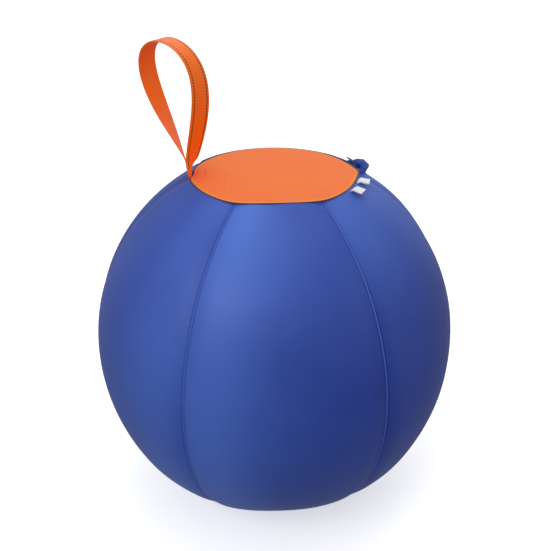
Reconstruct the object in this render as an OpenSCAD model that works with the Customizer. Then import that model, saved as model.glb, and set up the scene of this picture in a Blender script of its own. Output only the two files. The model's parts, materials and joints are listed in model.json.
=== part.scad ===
// Cloth-covered play ball: an inflated bladder in a sewn six-gore cover, with a flat
// top disc, a zip round the back of the disc and a webbing carrying loop.
// Millimetres. +Z is up. The origin is on the ball's axis, on the floor it stands on.
// The loop is on the -X side, the zip is on the +Y side.

/* [Ball] */
// Widest diameter of the cover
ball_d = 450; // [300:1:600]
// Height from the floor to the top disc
body_h = 430; // [380:1:520]
// Diameter of the top disc
top_d = 196; // [170:1:250]
// Diameter of the flat base disc
base_d = 200; // [150:1:250]
// Thickness of the cover cloth
cloth_t = 0.8; // [0.5:0.1:1.5]

/* [Bladder and valve] */
// Space between the cover and the bladder
bladder_gap = 1.6; // [1:0.1:4]
// Wall of the bladder
bladder_t = 0.7; // [0.4:0.1:2]
// Radius of the valve's flange
flange_r = 11; // [9:0.5:14]
// Inner radius of the valve's neck
neck_r = 4; // [3:0.5:5]
// Depth of the valve's neck
neck_depth = 14; // [10:1:20]
// Wall of the valve's neck
neck_wall = 1.5; // [1:0.1:2.5]
// Running clearance between plug and neck
plug_gap = 0.3; // [0.1:0.05:0.5]

/* [Zip] */
// Angle from +X at which the zip's chain begins
zip_start = 22; // [20:1:26]
// Angle from +X at which the zip's chain ends
zip_end = 144; // [138:1:146]
// Angle from +X at which the lifting part of the disc begins
flap_start = 36; // [32:1:40]
// Width of the zip, both tapes together
zip_w = 16; // [14:0.5:20]
// Thickness of the tapes
tape_t = 0.6; // [0.4:0.1:1]
// Width of one row of teeth
coil_w = 2.2; // [1.8:0.1:2.6]
// Height of the teeth above the tape
coil_h = 1.2; // [1:0.1:2.4]
// Space between the two rows of teeth
chain_gap = 1.8; // [1.6:0.1:2.4]
// Length of the slider
slider_len = 11; // [8:0.5:14]
// Width of the slider
slider_w = 9.6; // [8:0.1:11]
// Thickness of the slider's plates
slider_t = 1; // [0.8:0.1:1.4]
// Clearance of the slider from the teeth and tapes
slider_gap = 0.4; // [0.3:0.1:0.6]
// Length of the pull
pull_len = 24; // [16:1:30]
// Width of the pull
pull_w = 5; // [4:0.5:6]
// Thickness of the pull
pull_t = 1.4; // [1:0.1:2]

/* [Placket] */
// Angle from +X at which the cloth fold beside the zip begins
placket_start = 4; // [2:1:8]
// Angle that the cloth fold covers
placket_span = 30; // [20:1:34]
// Height of the fold above the cover
placket_h = 9; // [5:0.5:12]
// Thickness of the fold
placket_t = 2.4; // [1.6:0.1:4]

/* [Loop] */
// Width of the webbing
web_w = 25; // [20:1:30]
// Thickness of the webbing
web_t = 1.6; // [1.2:0.1:2.4]
// Height of the loop
loop_h = 150; // [110:1:180]
// Width of the loop at its widest, between the middles of its sides
loop_w = 70; // [55:1:85]
// Angle that the loop turns round the vertical, from the rim up
loop_turn = -33; // [-45:1:0]
// How far the top of the loop leans out from the ball
loop_lean = 21; // [0:1:30]
// Offset of the loop along the rim from the side seam
loop_y = 7; // [0:1:10]
// Radius of the rolled webbing at the loop's foot
roll_r = 2; // [1.8:0.1:3]
// Length of the webbing ends sewn in under the disc
tail_len = 18; // [12:1:30]

/* [Labels] */
// Width of each folded label
label_w = 14; // [10:1:20]
// Length of each folded label
label_len = 17; // [10:1:25]
// Thickness of a folded label
label_t = 0.7; // [0.5:0.1:1.2]
// Angle from +X of the first label
label_a = -14; // [-18:1:-12]
// Angle from +X of the second label
label_b = -30; // [-40:1:-26]
// Height of a label's free end above the cover, as an angle
label_lift = 11; // [8:1:20]

/* [Stitching] */
// Thickness of the seam ridges and stitched beads
seam_w = 2.4; // [1.5:0.1:4]
// Height of the gore seams above the cloth
seam_h = 0.9; // [0.5:0.1:1.5]

/* [Hidden] */
$fn = 96;

// Number of gores round the cover, one node each
gore_count = 6;
// Space left between sewn pieces, so that each stays a solid of its own
sewn_gap = 0.05;
// Space left between pieces that move apart
free_gap = 0.4;
ball_r = ball_d / 2;
rim_r = top_d / 2;
base_r = base_d / 2;
equator_z = body_h / 2;
gore_angle = 360 / gore_count;

// The cover's side is two half ellipses that meet at the equator: each passes through
// the edge of its disc.
rim_lat = acos(rim_r / ball_r);
base_lat = acos(base_r / ball_r);
upper_a = equator_z / sin(rim_lat);
lower_a = equator_z / sin(base_lat);
profile_steps = 24;

// Slope of the cover where it meets the top disc
rim_slope = atan(upper_a * cos(rim_lat) / (ball_r * sin(rim_lat)));

// The zip's chain lies on that slope: along is measured down it from the rim.
chain_mid = zip_w / 2;
flap_end = 180 - flap_start;
hinge_y = rim_r * sin(flap_start);
slot_start = zip_start - 8;
slot_end = zip_end + 8;
slider_deg = slider_len / (rim_r + chain_mid) * 180 / PI;
slider_rest = zip_start - slider_deg / 2 - 0.8;
chain_top = tape_t / 2 + coil_h;
slider_top = chain_top + slider_gap + slider_t;
slot_depth = tape_t / 2 + slider_gap + slider_t + free_gap;

function lat_at(i) = -base_lat + (rim_lat + base_lat) * i / profile_steps;
function half_a(lat) = lat < 0 ? lower_a : upper_a;
// Point number i up the side of the cover, moved in by inset
function side_point(i, inset) =
  let (lat = lat_at(i))
  [(ball_r - inset) * cos(lat), equator_z + (half_a(lat) - inset) * sin(lat)];
function side_points(inset) = [for (i = [0 : profile_steps]) side_point(i, inset)];

// Band between the side and the side moved in by thick
module side_band(thick) {
  difference() {
    polygon(concat([[0, 0]], side_points(0), [[0, body_h]]));
    polygon(concat([[-1, -1], [base_r - thick, -1]], side_points(thick),
                   [[side_point(profile_steps, thick)[0], body_h + 1], [-1, body_h + 1]]));
  }
}

// Places a flat shape on the sloping band beside the top disc: its X runs down the
// slope from the rim and its Y stands off the cloth.
module on_slope() {
  translate([rim_r, body_h]) rotate(-rim_slope) children();
}

// Turns a flat shape on the slope round the ball between two angles
module round_rim(from, to) {
  rotate_extrude(start = from, angle = to - from) on_slope() children();
}

// A rectangle on the slope between two distances and two heights
module slope_rect(s0, s1, n0, n1) {
  translate([s0, n0]) square([s1 - s0, n1 - n0]);
}

module gore_shell(i) {
  rotate_extrude(start = i * gore_angle, angle = gore_angle)
    difference() {
      side_band(cloth_t);
      translate([rim_r - 1, body_h - cloth_t]) square([1 + sewn_gap, 2 * cloth_t]);
    }
}

// The space that the zip, and the slider under it, take out of the cover
module zip_slot() {
  round_rim(slot_start, slot_end)
    slope_rect(-2, zip_w + sewn_gap, -slot_depth, cloth_t + 1);
}

module gore(i) {
  color("royalblue") difference() {
    gore_shell(i);
    zip_slot();
  }
}
module gore_1() { gore(0); }
module gore_2() { gore(1); }
module gore_3() { gore(2); }
module gore_4() { gore(3); }
module gore_5() { gore(4); }
module gore_6() { gore(5); }

module disc_plate() {
  translate([0, 0, body_h - cloth_t]) cylinder(h = cloth_t, r = rim_r - sewn_gap);
}

// The flap's front edge is a round fold of the cloth, which it turns on
fold_r = cloth_t / 2;
// Everything behind the middle of the fold
module behind_fold() {
  translate([-ball_r, hinge_y, 0]) cube([ball_d, ball_r, 2 * body_h]);
}
// A round bar of radius r along the fold
module fold_bar(r) {
  translate([0, hinge_y, body_h - fold_r]) rotate([0, 90, 0])
    cylinder(h = ball_d, r = r, center = true);
}

module top_disc() {
  color("orangered") difference() {
    disc_plate();
    behind_fold();
    fold_bar(fold_r + free_gap);
  }
}

module top_flap() {
  color("orangered") intersection() {
    disc_plate();
    union() {
      behind_fold();
      fold_bar(fold_r);
    }
  }
}

module base_disc() {
  color("midnightblue") cylinder(h = cloth_t, r = base_r - cloth_t - 2 * sewn_gap);
}

// One raised seam: a ridge that stands on the cloth between two gores. It stops one
// step short of the base's seam and of the zip, and takes the cloth's own points, so
// that the two stay parallel.
module seam_ridge(angle) {
  half = seam_w / ball_d * 180 / PI;
  steps = [1 : profile_steps - 1];
  outer = [for (i = steps) side_point(i, -seam_h)];
  inner = [for (i = steps) side_point(profile_steps - i, -sewn_gap)];
  rotate_extrude(start = angle - half, angle = 2 * half) polygon(concat(outer, inner));
}

module gore_seams() {
  color("midnightblue")
    for (i = [0 : gore_count - 1]) seam_ridge(i * gore_angle);
}

// Bead of thread along the edge of the top disc, where there is no zip
bead_r = seam_w / 4;
module rim_seam() {
  color("maroon")
    rotate_extrude(start = slot_end + 1, angle = 360 - (slot_end - slot_start) - 2)
      on_slope() translate([bead_r + 2 * sewn_gap, bead_r + 2 * sewn_gap]) circle(r = bead_r, $fn = 24);
}

// Bead of thread round the edge of the base, clear of the floor
module base_seam() {
  color("midnightblue")
    rotate_extrude()
      translate([base_r - cloth_t - bead_r - 3 * sewn_gap - 1, cloth_t + bead_r + sewn_gap])
        circle(r = bead_r, $fn = 24);
}

// The cover's tape lies on the outer half of the slot. Beyond the lifting part of the
// disc, short lengths of the disc's tape stay with the cover.
module zip_tape_cover() {
  color("navy") {
    round_rim(zip_start, zip_end)
      slope_rect(chain_mid + chain_gap / 2, zip_w, -tape_t / 2, tape_t / 2);
    round_rim(zip_start, flap_start - 0.4)
      slope_rect(2 * sewn_gap, chain_mid - chain_gap / 2, -tape_t / 2, tape_t / 2);
  }
}

module zip_tape_flap() {
  color("navy")
    round_rim(flap_start + 0.4, flap_end - 0.4)
      slope_rect(2 * sewn_gap, chain_mid - chain_gap / 2, -tape_t / 2, tape_t / 2);
}

module teeth(from, to, s) {
  round_rim(from, to)
    slope_rect(s, s + coil_w, tape_t / 2 + sewn_gap, chain_top);
}

module zip_teeth_cover() {
  color("midnightblue") {
    teeth(zip_start, zip_end, chain_mid + chain_gap / 2);
    teeth(zip_start, flap_start - 1, chain_mid - chain_gap / 2 - coil_w);
  }
}

module zip_teeth_flap() {
  color("midnightblue")
    teeth(flap_start + 2, flap_end - 2, chain_mid - chain_gap / 2 - coil_w);
}

// A stop at each end of the cover's row of teeth
stop_deg = 1;
module zip_end_stops() {
  color("slategray")
    for (from = [zip_start + 0.5, zip_end - 0.5 - stop_deg])
      round_rim(from, from + stop_deg)
        slope_rect(chain_mid + chain_gap / 2 + coil_w + sewn_gap,
                   chain_mid + chain_gap / 2 + coil_w + 1.2,
                   tape_t / 2 + sewn_gap, chain_top - slider_gap);
}

// The fold of cover cloth that stands up beside the closed end of the zip
module zip_placket() {
  color("royalblue")
    round_rim(placket_start, placket_start + placket_span)
      translate([zip_w + 1.5, 0.3]) {
        square([placket_t, placket_h - placket_t / 2]);
        translate([placket_t / 2, placket_h - placket_t / 2]) circle(d = placket_t, $fn = 32);
      }
}

// Slider: a plate under both tapes, a neck between the rows of teeth and a plate
// over the cover's teeth, so that the disc's row can lift away.
neck_t = 0.6;
neck_deg = 1.2;
pin_r = 0.7;
pin_gap = 0.08;
cheek_t = 0.8;
lug_w = 1.8;
// The pull's pin stands beyond the middle of the chain, over the cover's teeth
pin_along = chain_mid + 3.2;
pin_up = slider_top + pull_t / 2 + 0.6;
module at_slider(along, up) {
  rotate([0, 0, slider_rest])
    translate([rim_r, 0, body_h]) rotate([0, rim_slope, 0])
      translate([along, 0, up]) children();
}
module slider_cheek(side) {
  inner = lug_w / 2 + 0.2;
  translate([side > 0 ? inner : -inner - cheek_t, -1.2, -pin_up + slider_top - 0.3])
    cube([cheek_t, 2.4, pin_up - slider_top + 0.3 + pin_r + 0.6]);
}
module zip_slider() {
  mid = chain_mid;
  half = slider_w / 2;
  under = tape_t / 2 + slider_gap;
  over = chain_top + slider_gap;
  color("midnightblue") {
    round_rim(slider_rest - slider_deg / 2, slider_rest + slider_deg / 2) {
      slope_rect(mid - half, mid + half, -under - slider_t, -under);
      slope_rect(mid - neck_t / 2, mid + half, over, over + slider_t);
    }
    round_rim(slider_rest - slider_deg / 2, slider_rest - slider_deg / 2 + neck_deg)
      slope_rect(mid - neck_t / 2, mid + neck_t / 2, -under - slider_t / 2, over + slider_t / 2);
    at_slider(pin_along, pin_up) difference() {
      for (side = [-1, 1]) slider_cheek(side);
      rotate([0, 90, 0]) cylinder(h = pull_w, r = pin_r + pin_gap, center = true, $fn = 32);
    }
  }
}

// The pull lies along the zip, its pin in the holes of the slider's cheeks
module zip_pull() {
  reach = 3.2;
  color("midnightblue")
    at_slider(pin_along, pin_up) {
      rotate([0, 90, 0]) cylinder(h = lug_w + 0.4 + 2 * cheek_t, r = pin_r, center = true, $fn = 32);
      translate([-lug_w / 2, 0, -0.5]) cube([lug_w, reach + 0.4, 1]);
      translate([-pull_w / 2, reach, -pull_t / 2]) cube([pull_w, pull_len - reach, pull_t]);
    }
}

// Loop of webbing. Its two ends meet at the rolled foot on the rim, and it turns round
// the vertical as it rises.
loop_x = -(rim_r - roll_r - 1);
foot_z = body_h + roll_r + free_gap;
loop_steps = 40;
// Angle round the loop, 0 at the foot of one side and 360 at the foot of the other
function loop_phi(i) = 360 * i / loop_steps;
function loop_rise(p) = loop_h * (1 - cos(p)) / 2;
// The loop is a teardrop: its fullness is the power that narrows it towards the foot,
// and loop_peak is the value of the curve at its widest.
loop_power = 1.8;
peak_sin = sqrt((1 + loop_power) / (2 + loop_power));
loop_peak = 2 * pow(peak_sin, loop_power + 1) * sqrt(1 - peak_sin * peak_sin);
// Half the space between the two ends where they lie on each other
leg_gap = web_t / 2 + 0.1;
function loop_side(p) = loop_w / 2 / loop_peak * sin(p) * pow(sin(p / 2), loop_power);
function loop_apart(p) = leg_gap * cos(p / 2);
function turn_at(p) = loop_turn * (1 - pow(1 - loop_rise(p) / loop_h, 3));
function loop_mid(p) = [
  loop_x + loop_side(p) * cos(loop_turn) + loop_apart(p) * cos(turn_at(p))
    - loop_lean * pow(loop_rise(p) / loop_h, 2),
  loop_y + loop_side(p) * sin(loop_turn) + loop_apart(p) * sin(turn_at(p)),
  foot_z + loop_rise(p)
];
function unit(v) = v / norm(v);
function loop_tangent(p) =
  unit(loop_mid(min(p + 1, 360)) - loop_mid(max(p - 1, 0)));
function loop_across(p) =
  let (u = [-sin(turn_at(p)), cos(turn_at(p)), 0], t = loop_tangent(p))
  unit(u - (u * t) * t);
function loop_ring(p) =
  let (m = loop_mid(p), u = loop_across(p) * web_w / 2, n = cross(loop_tangent(p), loop_across(p)) * web_t / 2)
  [m - u - n, m + u - n, m + u + n, m - u + n];
module loop_webbing() {
  rings = [for (i = [0 : loop_steps]) loop_ring(loop_phi(i))];
  last = 4 * loop_steps;
  sides = [
    for (i = [0 : loop_steps - 1], k = [0 : 3])
      let (a = 4 * i + k, b = 4 * i + (k + 1) % 4)
      each [[a, b + 4, b], [a, a + 4, b + 4]]
  ];
  ends = [[0, 2, 3], [0, 1, 2], [last, last + 2, last + 1], [last, last + 3, last + 2]];
  color("darkorange") {
    polyhedron(points = [for (r = rings) each r], faces = concat(sides, ends));
    translate([loop_x, loop_y, foot_z]) rotate([90, 0, 0])
      cylinder(h = web_w, r = roll_r, center = true);
  }
}

// The two ends of the webbing, sewn in under the disc
module loop_tails() {
  color("darkorange")
    translate([loop_x, loop_y - web_w / 2, body_h - cloth_t - sewn_gap - 2 * web_t])
      cube([tail_len, web_w, 2 * web_t]);
}

// Bar of close stitches that holds the ends, seen on the disc
module loop_bartack() {
  color("orangered")
    for (x = [0, tail_len / 2])
      translate([loop_x + roll_r + 2 + x, loop_y - web_w / 2 + 1, body_h + sewn_gap])
        cube([1.6, web_w - 2, 0.5]);
}

// A folded label: its sewn edge is a small roll that it hinges on
label_roll = 0.6;
label_tilt = rim_slope - label_lift;
module label_at(angle) {
  rotate([0, 0, angle])
    translate([label_x, 0, label_z]) rotate([0, label_tilt, 0]) {
      translate([0, -label_w / 2, -label_t / 2]) cube([label_len, label_w, label_t]);
      rotate([90, 0, 0]) cylinder(h = label_w, r = label_roll, center = true, $fn = 32);
    }
}
label_along = 2 * bead_r + label_roll + 2.4;
label_up = label_roll + 2;
label_x = rim_r + label_along * cos(rim_slope) + label_up * sin(rim_slope);
label_z = body_h - label_along * sin(rim_slope) + label_up * cos(rim_slope);
module care_label() { color("white") label_at(label_a); }
module size_label() { color("white") label_at(label_b); }

// The bladder follows the inside of the cover, and stops below the sewn-in webbing ends
bladder_in = cloth_t + bladder_gap;
bladder_top = body_h - cloth_t - 2 * web_t - free_gap - sewn_gap;
bladder_low = cloth_t + 2 * bead_r + free_gap;
valve_y = (hinge_y + rim_r) / 2;
module bladder_solid(inset, low, high) {
  intersection() {
    polygon(concat([[0, -1]], side_points(inset), [[0, body_h + 1]]));
    translate([0, low]) square([ball_d, high - low]);
  }
}
module bladder() {
  color("lightsteelblue") difference() {
    rotate_extrude() difference() {
      bladder_solid(bladder_in, bladder_low, bladder_top);
      bladder_solid(bladder_in + bladder_t, bladder_low + bladder_t, bladder_top - bladder_t);
    }
    translate([0, valve_y, bladder_top - 2 * bladder_t])
      cylinder(h = 4 * bladder_t, r = neck_r + neck_wall + sewn_gap);
  }
}

// Valve: a flange on the bladder and a neck that goes down through its wall
flange_t = 0.8;
module valve_neck() {
  top = bladder_top + sewn_gap;
  color("whitesmoke") translate([0, valve_y, top]) difference() {
    union() {
      cylinder(h = flange_t, r = flange_r);
      translate([0, 0, -neck_depth]) cylinder(h = neck_depth + flange_t, r = neck_r + neck_wall);
    }
    translate([0, 0, -neck_depth - 1]) cylinder(h = neck_depth + flange_t + 2, r = neck_r);
  }
}

plug_head_t = 1;
module valve_plug() {
  top = bladder_top + sewn_gap + flange_t + 0.1;
  color("whitesmoke") translate([0, valve_y, top]) {
    cylinder(h = plug_head_t, r = neck_r + 2);
    translate([0, 0, -neck_depth + 4]) cylinder(h = neck_depth - 4 + plug_head_t, r = neck_r - plug_gap);
  }
}

gore_1();
gore_2();
gore_3();
gore_4();
gore_5();
gore_6();
top_disc();
top_flap();
base_disc();
gore_seams();
rim_seam();
base_seam();
zip_tape_cover();
zip_tape_flap();
zip_teeth_cover();
zip_teeth_flap();
zip_end_stops();
zip_placket();
zip_slider();
zip_pull();
loop_webbing();
loop_tails();
loop_bartack();
care_label();
size_label();
bladder();
valve_neck();
valve_plug();
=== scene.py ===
# %% [markdown]
# # A cloth-covered play ball
# The real object is an inflated bladder in a sewn cover: six blue gores, an orange disc
# on top, a smaller disc to stand on, a zip behind the top disc, a webbing loop and two
# folded labels. The CAD model fixes where every part is and how it moves. This script
# gives each part the surface that a sewn one has, and it starts by loading that model.
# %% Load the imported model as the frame
import json
import math

import bmesh
import bpy
import numpy as np
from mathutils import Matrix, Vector


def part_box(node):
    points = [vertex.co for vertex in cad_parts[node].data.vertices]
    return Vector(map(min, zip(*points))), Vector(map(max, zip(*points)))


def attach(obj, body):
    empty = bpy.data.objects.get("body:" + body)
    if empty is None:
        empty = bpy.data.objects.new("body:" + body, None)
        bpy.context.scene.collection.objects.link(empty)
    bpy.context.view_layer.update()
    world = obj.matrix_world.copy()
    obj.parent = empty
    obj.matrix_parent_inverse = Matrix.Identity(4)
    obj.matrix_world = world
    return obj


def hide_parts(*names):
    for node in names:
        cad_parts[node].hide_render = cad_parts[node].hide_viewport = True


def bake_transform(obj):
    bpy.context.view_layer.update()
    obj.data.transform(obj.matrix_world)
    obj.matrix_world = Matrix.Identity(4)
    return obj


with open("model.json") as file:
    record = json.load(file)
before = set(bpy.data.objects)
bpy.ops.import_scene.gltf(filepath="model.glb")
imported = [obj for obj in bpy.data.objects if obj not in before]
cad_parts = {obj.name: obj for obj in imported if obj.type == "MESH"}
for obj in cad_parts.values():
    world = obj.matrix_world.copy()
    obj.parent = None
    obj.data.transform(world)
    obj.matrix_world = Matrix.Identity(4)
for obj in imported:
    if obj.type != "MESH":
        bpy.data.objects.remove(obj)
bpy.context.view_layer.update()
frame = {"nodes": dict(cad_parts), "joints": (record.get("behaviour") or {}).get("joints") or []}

# %% [markdown]
# ## Sizes taken from the frame
# Nothing here is measured by eye. The cover's side is two half ellipses that meet at the
# equator, as in the CAD, so three radii and one height describe it. Places on the slope
# beside the top disc are given as a distance down the slope and a height off the cloth,
# because the zip, the labels and the placket all lie on that slope.
# %% Driving sizes of the cover
MM = 0.001
GORES = 6
GORE_ANGLE = 360 / GORES


def points_of(mesh):
    """Every vertex of a mesh, as rows of x, y, z."""
    points = np.zeros(len(mesh.vertices) * 3)
    mesh.vertices.foreach_get("co", points)
    return points.reshape(-1, 3)


def corners_of(node):
    """Every vertex of a CAD node."""
    return points_of(frame["nodes"][node].data)


def greatest_radius(node):
    """How far a CAD node reaches from the ball's axis."""
    points = corners_of(node)
    return float(np.hypot(points[:, 0], points[:, 1]).max())


TOP_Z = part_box("top_disc")[1].z
RIM_R = greatest_radius("top_disc")
BASE_R = greatest_radius("base_disc") + 1 * MM
BALL_R = greatest_radius("gore_5")
EQUATOR_Z = TOP_Z / 2
RIM_LAT = math.degrees(math.acos(RIM_R / BALL_R))
BASE_LAT = -math.degrees(math.acos(BASE_R / BALL_R))
UPPER_A = EQUATOR_Z / math.sin(math.radians(RIM_LAT))
LOWER_A = -EQUATOR_Z / math.sin(math.radians(BASE_LAT))
SLOPE = math.atan2(UPPER_A * RIM_R / BALL_R, BALL_R * math.sin(math.radians(RIM_LAT)))
print("cover", [round(size, 4) for size in (BALL_R, RIM_R, BASE_R)])
print("slope beside the disc", round(math.degrees(SLOPE), 1), "degrees")

# %% [markdown]
# Soft steps and ripples shape all the cloth below. A ripple is a sum of a few sines with
# fixed phases, so the cloth looks irregular and still comes out the same on every run.
# Most places on a ball are easiest to give by an angle round its axis, a radius and a
# height, so one helper turns these into points.
# %% Helpers for smooth shapes


def smoothstep(low, high, value):
    """0 up to low, 1 from high, and a smooth rise between."""
    t = np.clip((np.asarray(value, float) - low) / (high - low), 0, 1)
    return t * t * (3 - 2 * t)


def hump(centre, width, value):
    """A smooth bump of height 1 round centre."""
    return np.exp(-(((np.asarray(value, float) - centre) / width) ** 2))


def ripple(x, y, seed, waves=5):
    """A fixed irregular field between about -1 and 1, with features about 1 unit across."""
    draw = np.random.default_rng(seed)
    total = 0
    for _ in range(waves):
        angle = draw.uniform(0, 2 * math.pi)
        pitch = draw.uniform(0.6, 1.6)
        phase = draw.uniform(0, 2 * math.pi)
        along = x * math.cos(angle) + y * math.sin(angle)
        total = total + np.sin(2 * math.pi * along / pitch + phase)
    return total / waves * 1.4


def angle_from(centre, degrees):
    """The signed angle from centre to degrees, between -180 and 180."""
    return (np.asarray(degrees, float) - centre + 180) % 360 - 180


def stacked(*parts):
    """Arrays of coordinates joined into one array of points."""
    return np.stack(np.broadcast_arrays(*parts), -1)


def round_place(radius, theta, height):
    """Points at a radius, an angle in degrees and a height."""
    turn = np.radians(theta)
    return stacked(radius * np.cos(turn), radius * np.sin(turn), height)


def around(columns):
    """Angles right round the ball, as one row."""
    return np.linspace(0, 360, columns, endpoint=False)[None, :]


def lengths_from(steps):
    """Lengths along a line from its start, from the lengths of its steps."""
    return np.concatenate([[0], np.cumsum(steps)])


def wrapped(flat):
    """Flat coordinates with their first column once more, to close a ring."""
    return np.concatenate([flat, flat[:, :1]], axis=1)


def unit(vectors):
    """The same directions with length 1."""
    return vectors / np.linalg.norm(vectors, axis=-1, keepdims=True)


# %% [markdown]
# ## The cover's shape
# A sewn cover isn't a perfect solid of revolution. Cloth between two seams pulls nearly
# straight where it meets a flat disc, so the rim and the base come out as rounded
# hexagons with their corners at the seams. The front gore is the tightest at the rim.
# One function gives the cover's surface everywhere, so that gores, welts, stitches and
# both discs all meet on the same lines.
# %% The cover's surface
# How nearly straight each gore's top edge is, from 0, a circle, to 1, a chord
TOP_FLATNESS = (0.03, 0.03, 0.03, 0.12, 0.82, 0.2)
BASE_FLATNESS = (0.6, 0.8, 0.8, 0.85, 0.9, 0.45)
# How far round the ball, in degrees, the smoothing of a hexagon's corners reaches
CORNER_REACH = 18
CORNER_WIDTH = 9.0


def chord_depth(theta):
    """How far a hexagon's side is inside the circle through its corners, as a share."""
    off = np.radians(theta % GORE_ANGLE - GORE_ANGLE / 2)
    return 1 - math.cos(math.radians(GORE_ANGLE / 2)) / np.cos(off)


# Both discs' outlines, as how far they are inside the circle at each degree. The corners
# of a sewn hexagon are round, so each outline is smoothed.
TURNS = np.arange(0, 360, 1.0)
SMOOTHER = hump(0, CORNER_WIDTH, np.arange(-CORNER_REACH, CORNER_REACH + 1))


def rounded_outline(flatness):
    """A hexagon's depth at each degree, with its corners rounded off."""
    sharp = chord_depth(TURNS) * np.asarray(flatness)[(TURNS // GORE_ANGLE).astype(int)]
    padded = np.concatenate([sharp[-CORNER_REACH:], sharp, sharp[:CORNER_REACH]])
    return np.convolve(padded, SMOOTHER / SMOOTHER.sum(), "valid")


TOP_OUTLINE = rounded_outline(TOP_FLATNESS)
BASE_OUTLINE = rounded_outline(BASE_FLATNESS)


def profile(lat):
    """Radius and height of the cover's side at a latitude in degrees."""
    half_height = np.where(lat < 0, LOWER_A, UPPER_A)
    lat = np.radians(lat)
    return BALL_R * np.cos(lat), EQUATOR_Z + half_height * np.sin(lat)


def cover_radius_share(theta, lat):
    """How much the seams and discs pull the cover in at a place."""
    theta = theta % 360
    near_top = smoothstep(RIM_LAT - 30, RIM_LAT, lat)
    near_base = smoothstep(-30, BASE_LAT, lat)
    top_pull = np.interp(theta, TURNS, TOP_OUTLINE, period=360) * near_top
    share = 1 - top_pull - np.interp(theta, TURNS, BASE_OUTLINE, period=360) * near_base
    # The disc's outline is pushed out at the labels' side and at the loop's
    corners = 0.03 * hump(0, 9, angle_from(3, theta)) + 0.015 * hump(0, 9, angle_from(184, theta))
    return share + corners * near_top


def cover(theta, lat):
    """Points of the cover's surface, from angles and latitudes in degrees."""
    theta, lat = np.broadcast_arrays(np.asarray(theta, float), np.asarray(lat, float))
    radius, height = profile(lat)
    return round_place(radius * cover_radius_share(theta, lat), theta, height)


def outward(theta, lat):
    """Unit normals of the cover's surface, by differences."""
    step = 0.2
    east = cover(theta + step, lat) - cover(theta - step, lat)
    above = np.minimum(lat + step, RIM_LAT)
    below = np.maximum(lat - step, BASE_LAT)
    return unit(np.cross(east, cover(theta, above) - cover(theta, below)))


def on_slope(theta, down, off):
    """A place on the slope beside the disc: down it from the rim, and off the cloth."""
    radius = RIM_R + down * math.cos(SLOPE) + off * math.sin(SLOPE)
    height = TOP_Z - down * math.sin(SLOPE) + off * math.cos(SLOPE)
    return round_place(radius, theta, height)


def slope_place(node):
    """Angles, distances down the slope and heights off it that a CAD node covers."""
    points = corners_of(node)
    radius = np.hypot(points[:, 0], points[:, 1]) - RIM_R
    height = points[:, 2] - TOP_Z
    theta = np.degrees(np.arctan2(points[:, 1], points[:, 0]))
    down = radius * math.cos(SLOPE) - height * math.sin(SLOPE)
    off = radius * math.sin(SLOPE) + height * math.cos(SLOPE)
    return [(values.min(), values.max()) for values in (theta, down, off)]


ZIP_ANGLES, TAPE_DOWN, TAPE_OFF = slope_place("zip_tape_cover")
FLAP_ANGLES = slope_place("zip_tape_flap")[0]
ZIP_W = TAPE_DOWN[1]
print("zip", [round(a, 1) for a in ZIP_ANGLES], "flap", [round(a, 1) for a in FLAP_ANGLES])

# %% [markdown]
# ## Meshes from grids
# Cloth is easiest to build as a grid of points in rows and columns: rows run up the
# piece and columns run across it. The faces follow from the grid, and a second grid of
# flat coordinates in metres becomes the UV map, so that a weave keeps its scale however
# the cloth is bent. Solidify then gives the cloth its thickness.
# %% Grid pieces


def linked(name, data):
    """A new object in the scene."""
    made = bpy.data.objects.new(name, data)
    bpy.context.scene.collection.objects.link(made)
    return made


def grid_piece(name, points, flat, closed_rows=False, closed_columns=False):
    """An object made of a grid of points, with its flat coordinates as a UV map."""
    rows, columns = points.shape[:2]
    row, column = np.meshgrid(
        np.arange(rows if closed_rows else rows - 1),
        np.arange(columns if closed_columns else columns - 1),
        indexing="ij",
    )
    steps = ((0, 0), (0, 1), (1, 1), (1, 0))
    faces = [((row + r) % rows) * columns + (column + c) % columns for r, c in steps]
    corners = [flat[row + r, column + c] for r, c in steps]
    mesh = bpy.data.meshes.new(name)
    faces = np.stack(faces, -1).reshape(-1, 4)
    mesh.from_pydata(points.reshape(-1, 3).tolist(), [], faces.tolist())
    layer = mesh.uv_layers.new(name="UVMap")
    layer.data.foreach_set("uv", np.stack(corners, -2).reshape(-1))
    mesh.shade_smooth()
    return linked(name, mesh)


def close_rings(piece, rings, facing=0):
    """Closes rings of vertices, and turns the faces outwards, up (1) or down (-1)."""
    work = bmesh.new()
    work.from_mesh(piece.data)
    work.verts.ensure_lookup_table()
    for ring in rings:
        work.faces.new([work.verts[i] for i in ring])
    bmesh.ops.recalc_face_normals(work, faces=work.faces)
    if facing * sum(face.normal.z for face in work.faces) < 0:
        bmesh.ops.reverse_faces(work, faces=work.faces)
    work.to_mesh(piece.data)
    work.free()
    piece.data.shade_smooth()


def paint_points(piece, name, values):
    """Stores one number a vertex, which a material reads by name."""
    attribute = piece.data.attributes.new(name, "FLOAT", "POINT")
    attribute.data.foreach_set("value", np.asarray(values, np.float32).reshape(-1))


def paint_sheen_and_shade(piece, painted_sheen, painted_crease_shade):
    """Stores the cover cloth's painted light: its painted sheen, and the painted shade in its creases."""
    paint_points(piece, "painted_sheen", painted_sheen)
    paint_points(piece, "painted_crease_shade", painted_crease_shade)


def thicken(piece, thickness, offset=-1.0):
    """Gives a sheet its cloth thickness, inward, and leaves a plain mesh."""
    solid = piece.modifiers.new("thickness", "SOLIDIFY")
    solid.thickness = thickness
    solid.offset = offset
    solid.use_even_offset = True
    return finished(piece)


def finished(piece):
    """Applies every modifier, so that what is left is a plain mesh."""
    seen = piece.evaluated_get(bpy.context.evaluated_depsgraph_get())
    mesh = bpy.data.meshes.new_from_object(seen)
    piece.modifiers.clear()
    piece.data = mesh
    mesh.name = piece.name
    return piece


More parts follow.
